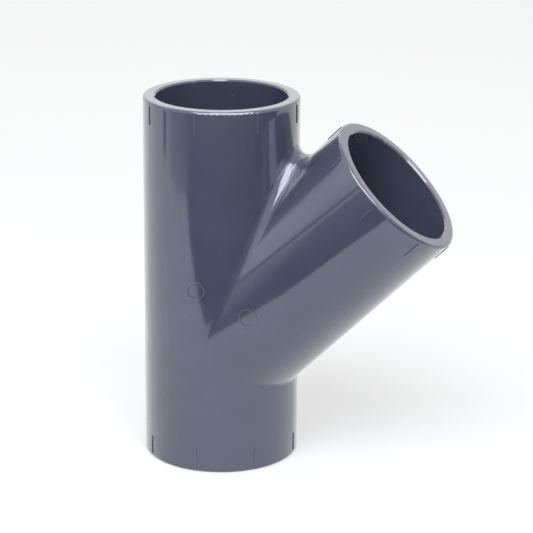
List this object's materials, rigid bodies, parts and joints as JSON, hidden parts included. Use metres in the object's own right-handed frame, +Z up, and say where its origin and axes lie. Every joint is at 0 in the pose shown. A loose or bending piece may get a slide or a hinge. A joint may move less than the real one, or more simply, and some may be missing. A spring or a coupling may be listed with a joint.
{
  "type": "lateral wye fitting",
  "caption": "Moulded grey plastic pipe wye: a straight run with an equal branch leaving it at a slant, each mouth a solvent-weld socket with a pipe stop, and a rounded crotch.",
  "frame": {"origin": "centre of the lower mouth of the straight run, in the plane of its rim", "axes": "+Z up along the straight run to its upper mouth; the branch leans toward +X in the plane Y = 0; -Y is the side with the ring marks"},
  "size_m": [0.1202, 0.0604, 0.142],
  "materials": {
    "wye_body": "semi-gloss moulded PVC-U, grey"
  },
  "bodies": {
    "root": {"wye_body": "wye_body"}
  },
  "joints": []
}
